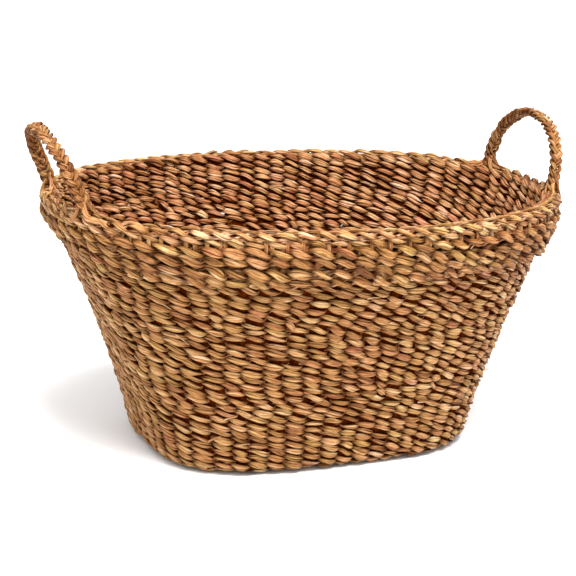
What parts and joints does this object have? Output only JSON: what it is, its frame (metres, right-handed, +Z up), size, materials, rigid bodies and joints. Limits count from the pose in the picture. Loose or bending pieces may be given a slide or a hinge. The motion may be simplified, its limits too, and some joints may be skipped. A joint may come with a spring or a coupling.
{
  "type": "seagrass storage basket",
  "caption": "Flared oval basket twined from seagrass, with a turned-down cuff at the top and a plaited loop handle at each end.",
  "frame": {"origin": "centre of the body's plan, on the underside of the floor", "axes": "+X along the basket's length, +Y across it, +Z up through the open top"},
  "size_m": [0.4687, 0.341, 0.2844],
  "materials": {
    "weave": "matte twined seagrass",
    "lining": "matte twined seagrass",
    "stakes": "matte dried stalks",
    "cuff": "matte coarse twined seagrass",
    "handles": "matte plaited seagrass"
  },
  "bodies": {
    "basket": {"wall_round_01": "weave", "wall_round_02": "weave", "wall_round_03": "weave", "wall_round_04": "weave", "wall_round_05": "weave", "wall_round_06": "weave", "wall_round_07": "weave", "wall_round_08": "weave", "wall_round_09": "weave", "wall_round_10": "weave", "wall_round_11": "weave", "wall_round_12": "weave", "wall_round_13": "weave", "wall_round_14": "weave", "wall_round_15": "weave", "wall_round_16": "weave", "wall_round_17": "weave", "wall_round_18": "weave", "wall_round_19": "weave", "wall_round_20": "weave", "wall_round_21": "weave", "wall_round_22": "weave", "wall_round_23": "weave", "wall_round_24": "weave", "wall_round_25": "weave", "wall_round_26": "weave", "wall_round_27": "weave", "floor_round_1": "weave", "floor_round_2": "weave", "floor_round_3": "weave", "floor_round_4": "weave", "floor_round_5": "weave", "floor_centre": "weave", "inner_weave_lining": "lining", "inner_weave_floor": "lining", "cross_stakes_1": "stakes", "cross_stakes_2": "stakes", "cross_stakes_3": "stakes", "long_stakes_1": "stakes", "long_stakes_2": "stakes", "long_stakes_3": "stakes", "long_stakes_4": "stakes", "long_stakes_5": "stakes", "turned_down_stake_ends": "stakes", "cuff_round_1": "cuff", "cuff_round_2": "cuff", "cuff_round_3": "cuff", "cuff_round_4": "cuff", "cuff_round_5": "cuff", "border_plait": "cuff", "left_handle_front_lashing": "handles", "left_handle_back_lashing": "handles", "right_handle_front_lashing": "handles", "right_handle_back_lashing": "handles"},
    "left_handle": {"left_handle_strand_a": "handles", "left_handle_strand_b": "handles", "left_handle_strand_c": "handles"},
    "right_handle": {"right_handle_strand_a": "handles", "right_handle_strand_b": "handles", "right_handle_strand_c": "handles"}
  },
  "joints": [
    {"name": "left_handle_swing", "type": "hinge", "parent": "basket", "child": "left_handle", "pos_m": [-0.211, 0, 0.2258], "axis": [0, -1, 0], "range_deg": [-44, 51], "stiffness_Nm_per_rad": 0.15},
    {"name": "right_handle_swing", "type": "hinge", "parent": "basket", "child": "right_handle", "pos_m": [0.211, 0, 0.2258], "axis": [0, 1, 0], "range_deg": [-29, 66], "stiffness_Nm_per_rad": 0.15}
  ]
}
